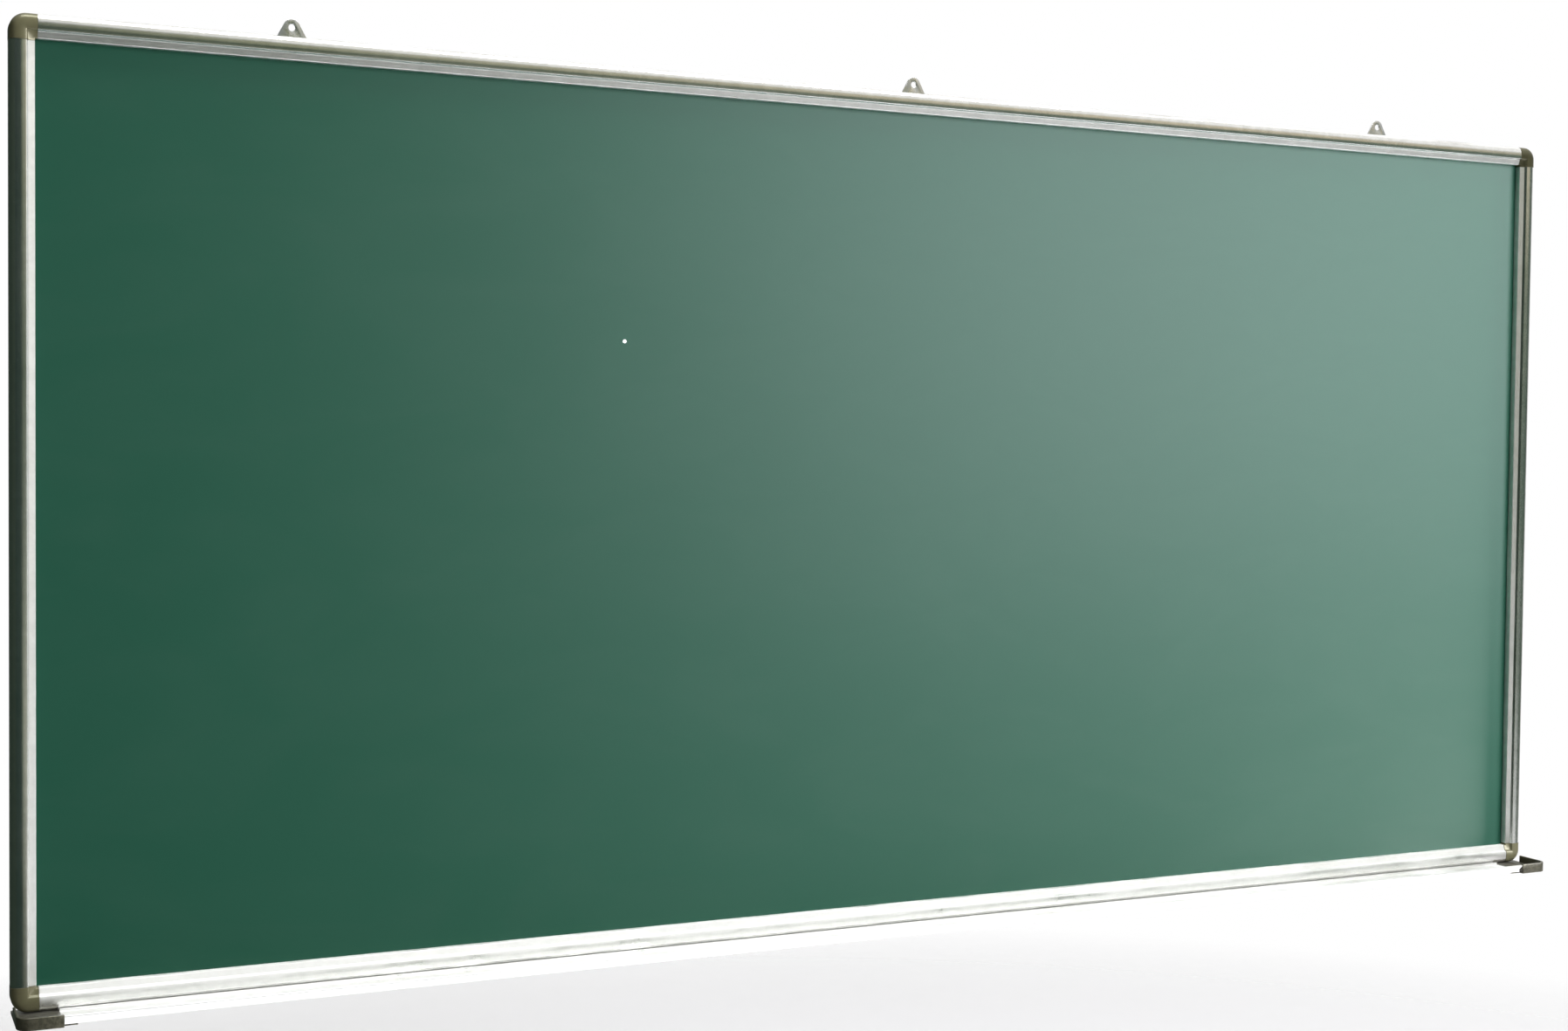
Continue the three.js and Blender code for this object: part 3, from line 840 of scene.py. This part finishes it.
def makeCornerMesh(size, shape):
    made = linkObject("cornerPattern", cornerBody(size, shape))
    tip, back, front = -shape["legTip"], -shape["legBack"], -shape["legFront"]
    near, far, root = -shape["legNear"], -shape["legFar"], -shape["radius"]
    across = linkObject("legPattern", block((tip, front, far), (root, back, near)))
    leg = takeMesh(softenEdges(across, shape["legEdge"], 2))
    upright = leg.copy()
    # The second leg is the first one mirrored across the corner's diagonal
    upright.transform(Matrix(((0, 0, 1, 0), (0, 1, 0, 0), (1, 0, 0, 0), (0, 0, 0, 1))))
    upright.flip_normals()
    carve(made, [leg, upright], "UNION")
    rear = drillBit(holeRadius, -25, 1, 28)
    side = drillBit(holeRadius, -8, 1, 28)
    place, middle, depth = -shape["screwPlace"], -slotMiddle, -shape["sideDepth"]
    tools = joinedMesh([
        (rear, moved(place, 0, middle, -quarterTurn, "X")),
        (rear, moved(middle, 0, place, -quarterTurn, "X")),
        (side, moved(-shape["sidePlace"], depth, 0)),
        (side, moved(0, depth, -shape["sidePlace"], quarterTurn)),
    ])
    return takeMesh(carve(made, [tools]))


def makeCorners():
    pattern = makeCornerMesh(rail, corner)
    for turns, (name, side, level) in enumerate(cornerPlaces):
        placeCopy(
            f"cornerPiece_{name}", pattern,
            moved(side * halfWidth, 0, level * halfHeight, turns * quarterTurn),
            cornerMaterial, "corner_resin", "board", [f"corner_{name}"],
        )


makeCorners()
print("Corner pieces made")


# Chalk tray, in millimetres: [up from the frame's bottom edge, out from the wall]

def traySection(size):
    thick, bead, fillet = size["thick"], size["bead"], size["fillet"]
    top, bottom = size["top"], size["top"] - thick
    ribBack = -rail["depth"] - size["ribGap"]
    ribFront = ribBack - thick
    ribTop = top + size["rib"]
    foot = (-size["depth"] + size["flare"] + fillet, bottom + fillet)
    rim = (-size["depth"] + bead, bottom + size["lip"] - bead)
    across, up = rim[0] - foot[0], rim[1] - foot[1]
    lean = math.atan2(up, across) - math.acos((bead - fillet) / math.hypot(across, up))
    inner = foot[0] + thick * math.cos(lean)
    return [
        (-size["setback"], top), (-size["setback"], bottom),
        *arc(foot, fillet, -quarterTurn, lean - math.pi, 10),
        *arc(rim, bead, lean + math.pi, 0, 14),
        (rim[0] + bead, rim[1] - bead / 2),
        *arc((inner, top + fillet), fillet, lean + math.pi, math.pi * 1.5, 10),
        (ribFront, top), (ribFront, ribTop), (ribBack, ribTop), (ribBack, top),
    ]


def makeTray():
    points = rounded(traySection(tray), tray["edge"])
    drill = drillBit(holeRadius, -8, 4, 32)
    holes = [(drill, moved(x, -tray["screwLine"], 0)) for x in trayScrews]
    outline = [(-up, -out) for out, up in points]
    made = drawLength("chalkTray", outline, trayReach, trayMaterial, holes)
    made.data.transform(moved(0, 0, -halfHeight))
    dress(made, trayMaterial, "tray_aluminium", "board", ["chalk_tray"])


makeTray()
print("Chalk tray drawn")


# End pieces of the tray, made for the right-hand end with its outer end at X = 0

trayEnd = {
    "radius": 12, "wall": 2.4, "proud": 1, "rise": 0.8,
    "tongue": 12, "tongueThick": 1.5, "tongueMargin": 3, "gap": 0.1, "edge": 0.7,
    "over": 5,      # how far the cutting shapes stand out
}


def endPlan(endX, frontY, radius, backY, reachX):
    bend = arc((-endX - radius, frontY + radius), radius, -quarterTurn, 0, 20)
    return [(-reachX, frontY), *bend, (-endX, backY), (-reachX, backY)]


def makeTrayEndMesh(shape):
    top, bottom = tray["top"], tray["top"] - tray["thick"]
    rim = bottom + tray["lip"] + shape["rise"]
    tongueTop = bottom - shape["gap"]
    low = tongueTop - shape["tongueThick"]
    front = -tray["depth"] - shape["proud"]
    wall, over, length = shape["wall"], shape["over"], tray["endLength"]
    pocketFront = -tray["depth"] + wall
    pocketBack = -rail["depth"] - corner["proud"] - tray["gap"]
    past = length + over
    outer = endPlan(0, front, shape["radius"], -tray["setback"], length)
    inner = endPlan(wall, pocketFront, shape["radius"] - wall, pocketBack, past)
    made = linkObject("trayEndPattern", prism(outer, low, rim))
    carve(made, [
        prism(inner, top, rim + over),
        block((-past, pocketBack, top), (over, over, rim + over)),
    ])
    softenEdges(made, shape["edge"], 3, 40)
    margin = shape["tongueMargin"]
    carve(made, [block(
        (-length - shape["tongue"], pocketFront + margin, low),
        (-length + margin, pocketBack - margin, tongueTop),
    )], "UNION")
    hole = drillBit(holeRadius, -8, 4, 28)
    hole.transform(moved(tray["inset"] - corner["sidePlace"], -tray["screwLine"], 0))
    return takeMesh(carve(made, [hole]))


def makeTrayEnds():
    pattern = makeTrayEndMesh(trayEnd)
    placed = moved(halfWidth - tray["inset"], 0, -halfHeight)
    for name, side in (("right", 1), ("left", -1)):
        # Both ends take the darker resin, which is painted shade
        placeCopy(
            f"trayEndPiece_{name}", pattern, Matrix.Diagonal((side, 1, 1, 1)) @ placed,
            shadedTrayEndMaterial, "tray_end_resin", "board", [f"tray_end_{name}"],
        )


makeTrayEnds()
print("Tray ends made")


# Screws: patterns that point down along Z with the head on top, repeated by Geometry Nodes

screw = {
    "radius": 1.5, "headRadius": 2.8, "headHeight": 1.6, "tip": 1.5, "pitch": 0.9,
    "driveWidth": 0.7, "driveSpan": 3.2, "driveDepth": 0.75, "gap": 0.1, "steps": 40,
    "core": 0.82, "edge": 0.06, "cornerLength": 9, "trayLength": 8,
    "spinLimit": 6.283, "cornerSeed": 4, "traySeed": 9, "clampSeed": 20,
}


def threadedShank(size, length, start):
    # Rings of a thread from the tip up to the start, as [radius, height]
    line = [(0, -length), (size["radius"] / 3, -length)]
    height = -length + size["tip"]
    core = size["radius"] * size["core"]
    line.append((core, height))
    while height + size["pitch"] < start:
        line.append((size["radius"], height + size["pitch"] / 2))
        line.append((core, height + size["pitch"]))
        height += size["pitch"]
    line.append((core, start))
    return line


def screwPattern(profile, size, top):
    # Cuts a cross into the head of the turned profile
    long, short = size["driveSpan"] / 2, size["driveWidth"] / 2
    floor, above = top - size["driveDepth"], top + 3
    made = carve(linkObject("screwPattern", spun(profile, size["steps"])), [
        block((-long, -short, floor), (long, short, above)),
        block((-short, -long, floor), (short, long, above)),
    ])
    return softenEdges(made, size["edge"], 2, 40)


def panPattern(size, length):
    radius, height = size["headRadius"], size["headHeight"]
    crown = [
        (radius * math.cos(angle), height * 0.35 + height * 0.65 * math.sin(angle))
        for angle in (quarterTurn * step / 9 for step in range(9))
    ]
    profile = [
        *threadedShank(size, length, -0.2), (size["radius"], 0), (radius - 0.15, 0),
        (radius, 0.15), *crown, (0, height),
    ]
    return screwPattern(profile, size, height)


def sunkPattern(size, length, headRadius, headHeight):
    profile = [
        *threadedShank(size, length, -headHeight - 0.4), (size["radius"], -headHeight),
        (headRadius, -0.12), (headRadius - 0.12, 0), (0, 0),
    ]
    return screwPattern(profile, size, 0)


def placeScrews(name, pattern, places, seed, body, replaced):
    # places are pairs of [X, Y, Z] in millimetres and the direction that the head faces
    mesh = bpy.data.meshes.new(name)
    mesh.from_pydata([[value * mm for value in spot] for spot, _ in places], [], [])
    heading = mesh.attributes.new("heading", "FLOAT_VECTOR", "POINT")
    heading.data.foreach_set("vector", [value for _, way in places for value in way])
    made = runTree(name, screwTree, mesh, {
        "Screw": pattern, "Spin Limit": screw["spinLimit"], "Spin Seed": seed,
        "Finish": screwMaterial,
    })
    dress(made, screwMaterial, "screw_steel", body, replaced, 38)


def makeBoardScrews():
    cornerScrew = panPattern(screw, screw["cornerLength"])
    trayScrew = panPattern(screw, screw["trayLength"])
    far, near = corner["screwPlace"], slotMiddle
    seat = -rail["recess"] + screw["gap"]
    places, replaced = [], []
    for name, side, level in cornerPlaces:
        for across, up in ((far, near), (near, far)):
            spot = (side * (halfWidth - across), seat, level * (halfHeight - up))
            places.append((spot, (0, 1, 0)))
        replaced += [f"corner_screw_{name}_1", f"corner_screw_{name}_2"]
    placeScrews("cornerScrews", cornerScrew, places, screw["cornerSeed"], "board", replaced)
    bottom = -halfHeight + tray["top"] - tray["thick"] - screw["gap"]
    endBottom = bottom - trayEnd["gap"] - trayEnd["tongueThick"]
    places = [((x, -tray["screwLine"], bottom), (0, 0, -1)) for x in trayScrews]
    places += [((x, -tray["screwLine"], endBottom), (0, 0, -1)) for x in (-endScrew, endScrew)]
    replaced = [f"tray_screw_{index + 1}" for index in range(tray["screwCount"])]
    replaced += ["tray_end_screw_left", "tray_end_screw_right"]
    placeScrews("trayScrews", trayScrew, places, screw["traySeed"], "board", replaced)
    for pattern in (cornerScrew, trayScrew):
        bpy.data.objects.remove(pattern)


makeBoardScrews()
print("Screws placed")


# Hanging lugs: a punched plate, a sliding nut and a countersunk clamp screw on each body

hanger = {
    "width": 30, "rise": 11, "radius": 8, "hole": 3.2, "footRound": 2,
    "foot": -7.2, "front": -1.8, "thick": 1.6, "edge": 0.28,
    "screwLength": 7.6, "sinkRadius": 2.7, "sinkHeight": 1.2, "clear": 0.2,
    "places": {"left": -647, "middle": 22, "right": 661},
}


def lugOutline(size):
    half, rise, radius = size["width"] / 2, size["rise"], size["radius"]
    spreadAngle = math.atan2(-rise, half) + math.acos(radius / math.hypot(half, rise))
    foot, bend = size["foot"], size["footRound"]
    return [
        *arc((-half + bend, foot + bend), bend, math.pi, math.pi * 1.5, 8),
        *arc((half - bend, foot + bend), bend, -quarterTurn, 0, 8),
        (half, 0),
        *arc((0, rise), radius, spreadAngle, math.pi - spreadAngle, 36),
        (-half, 0),
    ]


def makePlateMesh(size):
    front, back = size["front"], size["front"] + size["thick"]
    # The prism stands along Z, so its heights are taken as distances in front of the wall
    made = linkObject("platePattern", prism(lugOutline(size), -back, -front))
    hole = drillBit(size["hole"], -9, 9, 56)
    hole.transform(moved(0, size["rise"], 0))
    carve(made, [hole])
    softenEdges(made, size["edge"], 3, 40)
    made.data.transform(Matrix.Rotation(quarterTurn, 4, "X"))
    inner, outer = screw["radius"] + size["clear"], size["sinkRadius"] + size["clear"]
    sink = spun([
        (0, -6), (inner, -6), (inner, -size["sinkHeight"]), (outer, 0), (outer, 1), (0, 1),
    ], 40)
    sink.transform(moved(0, back, -slotMiddle, -quarterTurn, "X"))
    return takeMesh(carve(made, [sink]))


def makeHangers(size):
    plate = makePlateMesh(size)
    clamp = sunkPattern(screw, size["screwLength"], size["sinkRadius"], size["sinkHeight"])
    seat = size["front"] + size["thick"] - screw["gap"]
    for index, (name, place) in enumerate(size["places"].items()):
        body = f"hanger_{name}"
        placeCopy(
            f"lugPlate_{name}", plate, moved(place, 0, halfHeight),
            plateMaterial, "hanger_steel", body, [f"hanger_plate_{name}"],
        )
        spots = [((place, seat, halfHeight - slotMiddle), (0, 1, 0))]
        seed = screw["clampSeed"] + index
        placeScrews(f"clampScrew_{name}", clamp, spots, seed, body, [f"hanger_screw_{name}"])
    bpy.data.objects.remove(clamp)


makeHangers(hanger)
print("Hanging lugs made")


# Finishes of the pieces that keep their own shape

for node, material in (
    ("writing_sheet", boardMaterial), ("core_board", hardboardMaterial),
    ("back_sheet", zincMaterial), ("hanger_nut_left", screwMaterial),
    ("hanger_nut_middle", screwMaterial), ("hanger_nut_right", screwMaterial),
):
    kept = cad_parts[node]
    kept.data.materials.clear()
    kept.data.materials.append(material)
print("Finishes given to the kept pieces")


# Room: white surround, pale floor, soft lamps and the cards that the metal mirrors, in metres

room = {
    "surround": 0.16,               # strength of the light from all round
    "floorLevel": -1.36,
    "floorReach": 4.2,
    "floorThick": 0.01,
    "floorColour": (0.86, 0.86, 0.85, 1),
    "floorLift": 0.35,
    "floorFade": (0.62, 0.98),      # shares of its reach between which the floor fades out
}


def seenRays(tree):
    # 1 for the rays that show the background: straight, mirrored and through glass
    rays = tree.nodes.new("ShaderNodeLightPath").outputs
    seen = calculate("MAXIMUM", rays["Is Camera Ray"], rays["Is Glossy Ray"])
    return calculate("MAXIMUM", seen, rays["Is Transmission Ray"])


def makeWorld(strength):
    world = bpy.data.worlds.new("paleSurround")
    world.use_nodes = True
    bpy.context.scene.world = world
    tree = world.node_tree
    tree.nodes.remove(tree.nodes["Background"])
    plain, white = (
        addNode(tree, "ShaderNodeBackground", Color=(1, 1, 1, 1), Strength=power).outputs[0]
        for power in (strength, 1.0)
    )
    blend = tree.nodes.new("ShaderNodeMixShader")
    for index, value in enumerate((seenRays(tree), plain, white)):
        fill(blend.inputs[index], value)
    fill(tree.nodes["World Output"].inputs[0], blend.outputs[0])


def makeFloor(size):
    reach, top = size["floorReach"], size["floorLevel"] * 1000
    outline = arc((0, 0), reach * 1000, 0, 2 * math.pi, 64)[:-1]
    made = linkObject("paleFloor", prism(outline, top - size["floorThick"] * 1000, top))
    material, place, grain = startMaterial(
        "floorPaint", fine=40.0, broad=0.6, Specular_IOR_Level=0.1,
        Base_Color=size["floorColour"], Emission_Strength=1.0,
    )
    roughness = spread(grain["Fine"], 0.3, 0.7, 0.75, 0.9)
    away = addNode(place, "ShaderNodeVectorMath", {"operation": "LENGTH"}, Vector=place)
    near, far = size["floorFade"]
    edge = spread(away.outputs["Value"], reach * near, reach * far, 1.0, 0.0)
    lift = calculate("MULTIPLY", seenRays(material.node_tree), size["floorLift"])
    glow = addNode(place, "ShaderNodeCombineColor", Red=lift, Green=lift, Blue=lift)
    connect(material, Roughness=roughness, Alpha=edge, Emission_Color=glow.outputs[0])
    made.data.materials.append(material)


makeWorld(room["surround"])
makeFloor(room)
print("Surround and floor made")


# Lamps: link is INCLUDE where a lamp lights only its pieces and EXCLUDE where it spares them,
# and only the pieces named under shades cast a shadow in its light

lamps = {
    "keyLamp": {
        "place": (1.95, -2.1, 0.76), "aim": (0.2, 0, 0), "size": (2.5, 2.2), "power": 217,
        "colour": (0.935, 0.915, 1), "link": "EXCLUDE",
        "pieces": [
            "topRail", "rightStile", "leftStile", "bottomRail", "chalkTray",
            "cornerPiece_top_right", "lugPlate_left", "lugPlate_middle", "lugPlate_right",
        ],
    },
    "edgeLamp": {
        "place": (1.95, -2.1, 0.5), "aim": (0.2, 0, 0), "size": (2.5, 2.2), "power": 20,
        "link": "INCLUDE", "pieces": ["leftStile"],
    },
    "sillLamp": {
        "place": (0.5, -2.2, 0.4), "aim": (0, 0, -0.4), "size": (3.2, 0.9), "power": 27,
        "link": "INCLUDE", "pieces": ["bottomRail", "chalkTray"],
    },
    "rakeLamp": {
        "place": (3.2, -0.42, -1.15), "aim": (0.6, 0, -0.4), "size": (0.9, 0.5), "power": 200,
        "link": "INCLUDE", "pieces": ["writing_sheet"],
        "shades": ["rightStile", "cornerPiece_bottom_right"],
    },
    "topLamp": {
        "place": (0, -0.5, 2.6), "aim": (0, 0, 0), "size": (3, 1), "power": 90,
    },
}


def collect(name, pieces):
    group = bpy.data.collections.new(name)
    for piece in pieces:
        group.objects.link(bpy.data.objects[piece])
    return group


def makeLamp(name, look):
    data = bpy.data.lights.new(name, "AREA")
    data.shape = "RECTANGLE"
    data.size, data.size_y = look["size"]
    data.energy = look["power"]
    data.color = look.get("colour", (1, 1, 1))
    lamp = linkObject(name, data)
    way = Vector(look["aim"]) - Vector(look["place"])
    turned = way.to_track_quat("-Z", "Y").to_matrix().to_4x4()
    lamp.matrix_world = Matrix.Translation(look["place"]) @ turned
    lamp.visible_camera = False
    if "pieces" in look:
        group = collect(f"{name}Pieces", look["pieces"])
        for entry in group.collection_objects:
            entry.light_linking.link_state = look["link"]
        lamp.light_linking.receiver_collection = group
    if "shades" in look:
        lamp.light_linking.blocker_collection = collect(f"{name}Shades", look["shades"])


for name, look in lamps.items():
    makeLamp(name, look)
print("Lamps placed:", len(lamps))


# Cards that only reflections see: start, reach across and up, and the tones from 0 to 1 across

cards = {
    "facingWallFoot": ((-6, -5, -1.36), (13, 0, 0), (0, 0, 0.81), {
        0: (0.2, 0.22, 0.16), 0.4: (0.3, 0.32, 0.24), 0.6: (0.4, 0.4, 0.33),
        0.72: (0.1, 0.13, 0.1),
    }),
    "facingWallMiddle": ((-6, -5, -0.55), (13, 0, 0), (0, 0, 1.5), {
        0: (0.03, 0.045, 0.032), 0.42: (0.05, 0.068, 0.044), 0.55: (0.085, 0.11, 0.075),
        0.7: (0.09, 0.13, 0.1),
    }),
    "facingWallTop": ((-6, -5, 0.95), (13, 0, 0), (0, 0, 1.95), {
        0: (0.07, 0.085, 0.06), 0.38: (0.14, 0.165, 0.11), 0.5: (0.28, 0.29, 0.19),
        0.75: (0.62, 0.55, 0.4), 0.87: (0.62, 0.55, 0.4), 0.94: (0.22, 0.24, 0.17),
    }),
    "ceiling": ((-6, -5, 3.4), (13, 0, 0), (0, 8, 0), {
        0: (0.64, 0.63, 0.58), 0.4: (0.7, 0.69, 0.64), 0.6: (0.9, 0.88, 0.84),
        0.8: (1, 0.99, 0.97),
    }),
    "nearWall": ((-3.4, -3, -1.36), (2.78, 0, 0), (0, 0, 3.4), {
        0: (0.016, 0.03, 0.025), 1: (0.022, 0.04, 0.032),
    }),
    "floorCard": ((-2.3, -5, -1.355), (3.3, 0, 0), (0, 3.8, 0), {
        0: (0.03, 0.042, 0.032), 0.8: (0.05, 0.062, 0.045), 1: (0.2, 0.22, 0.18),
    }),
    "floorCardLeft": ((-4.5, -5, -1.35), (3.4, 0, 0), (0, 8, 0), {
        0: (0.022, 0.034, 0.025), 1: (0.03, 0.042, 0.032),
    }),
    "rightFoot": ((4.2, -3.6, -1.36), (0, 3.4, 0), (0, 0, 1), {
        0: (0.07, 0.095, 0.07), 1: (0.07, 0.095, 0.07),
    }),
    "rightWall": ((7, -5, -1.36), (0, 5.5, 0), (0, 0, 3.36), {
        0: (0.06, 0.09, 0.068), 0.6: (0.06, 0.09, 0.068), 0.8: (0.8, 0.8, 0.8),
    }),
    "sideWall": ((-4.5, 3, -1.36), (0, -8, 0), (0, 0, 4.76), {
        0: (0.022, 0.034, 0.025), 1: (0.03, 0.045, 0.032),
    }),
    "rearWallLeft": ((-4.5, 3, -1.36), (3.51, 0, 0), (0, 0, 4.76), {
        0: (0.022, 0.034, 0.025), 1: (0.022, 0.034, 0.025),
    }),
    "rearWall": ((-0.99, 3, -1.36), (9, 0, 0), (0, 0, 4.76), {
        0: (0.52, 0.54, 0.5), 1: (0.6, 0.6, 0.57),
    }),
}


def makeCard(name, start, across, up, tones):
    first, along, rise = Vector(start), Vector(across), Vector(up)
    mesh = bpy.data.meshes.new(name)
    mesh.from_pydata(
        [first, first + along, first + along + rise, first + rise], [], [(0, 1, 2, 3)],
    )
    layer = mesh.uv_layers.new(name="run")
    for loop, spot in enumerate(((0, 0), (1, 0), (1, 1), (0, 1))):
        layer.data[loop].uv = spot
    made = linkObject(name, mesh)
    material = bpy.data.materials.new(name)
    material.use_nodes = True
    tree = material.node_tree
    tree.nodes.remove(tree.nodes["Principled BSDF"])
    run = addNode(tree, "ShaderNodeUVMap", {"uv_map": "run"})
    split = addNode(tree, "ShaderNodeSeparateXYZ", Vector=run.outputs[0])
    ramp = addNode(tree, "ShaderNodeValToRGB", Fac=split.outputs["X"])
    stops = ramp.color_ramp.elements
    for index, (spot, tone) in enumerate(tones.items()):
        # A new ramp has two stops already
        if index < 2:
            stops[index].position = spot
        else:
            stops.new(spot)
        stops[index].color = (*tone, 1)
    glow = addNode(tree, "ShaderNodeEmission", Color=ramp.outputs["Color"], Strength=1.0)
    fill(tree.nodes["Material Output"].inputs[0], glow.outputs[0])
    mesh.materials.append(material)
    for ray in ("camera", "diffuse", "shadow", "transmission"):
        setattr(made, f"visible_{ray}", False)


for name, card in cards.items():
    makeCard(name, *card)
print("Cards placed:", len(cards))


# Plain view

scene = bpy.context.scene
scene.view_settings.view_transform = "Standard"
bpy.context.view_layer.update()
